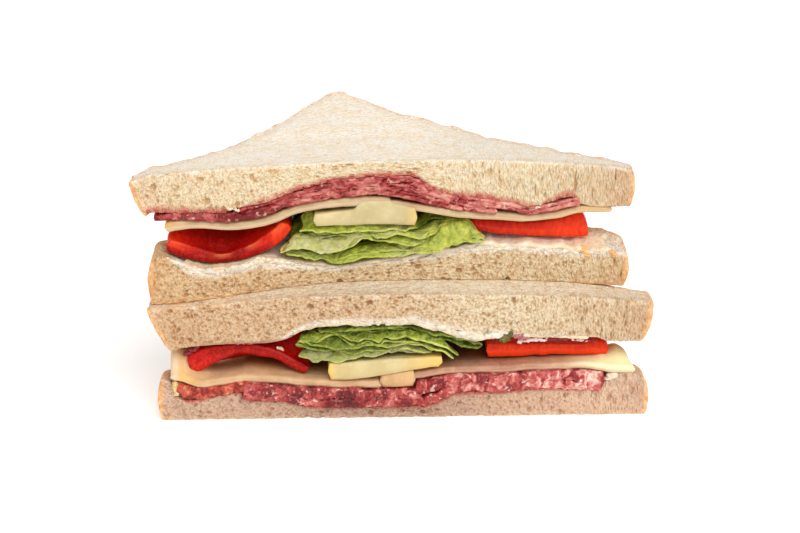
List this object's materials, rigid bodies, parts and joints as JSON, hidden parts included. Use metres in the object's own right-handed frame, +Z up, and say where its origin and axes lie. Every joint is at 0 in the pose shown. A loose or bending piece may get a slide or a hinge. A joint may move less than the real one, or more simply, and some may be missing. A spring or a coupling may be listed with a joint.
{
  "type": "salami sandwich",
  "caption": "Salami sandwich of thin crusted white bread, cut corner to corner with its halves stacked; cheese, red pepper, lettuce and mayonnaise inside, cut faces forward.",
  "frame": {"origin": "centre of the box round the whole sandwich, at the level of the surface that it rests on", "axes": "+Z up, +Y back from the two cut faces to the square corners, +X along the cut, to the right as seen from the front"},
  "size_m": [0.1646, 0.0952, 0.0858],
  "materials": {
    "bread": "matt, porous crumb with a thin pale golden crust",
    "salami": "moist, rose to dark red with pale specks of fat",
    "cheese": "smooth and slightly moist, pale cream yellow",
    "red_pepper": "wet and shiny, orange-red to deep red",
    "lettuce": "thin, veined, light green with whitish ribs",
    "mayonnaise": "creamy, off-white and shiny"
  },
  "bodies": {
    "root": {"bread_top": "bread", "bread_upper_base": "bread", "bread_lower_top": "bread", "bread_base": "bread", "salami_upper_1": "salami", "salami_upper_2": "salami", "salami_upper_3": "salami", "salami_upper_4": "salami", "salami_upper_5": "salami", "salami_lower_1": "salami", "salami_lower_2": "salami", "salami_lower_3": "salami", "salami_lower_4": "salami", "salami_lower_5": "salami", "salami_lower_6": "salami", "cheese_upper_left": "cheese", "cheese_upper_right": "cheese", "cheese_upper_stick": "cheese", "cheese_lower_left": "cheese", "cheese_lower_right": "cheese", "cheese_lower_stick_1": "cheese", "cheese_lower_stick_2": "cheese", "pepper_upper_left": "red_pepper", "pepper_upper_right": "red_pepper", "pepper_lower_left": "red_pepper", "pepper_lower_right": "red_pepper", "lettuce_upper_1": "lettuce", "lettuce_upper_2": "lettuce", "lettuce_upper_3": "lettuce", "lettuce_upper_4": "lettuce", "lettuce_lower_1": "lettuce", "lettuce_lower_2": "lettuce", "lettuce_lower_3": "lettuce", "lettuce_lower_4": "lettuce", "mayonnaise_upper": "mayonnaise", "mayonnaise_lower": "mayonnaise"}
  },
  "joints": []
}
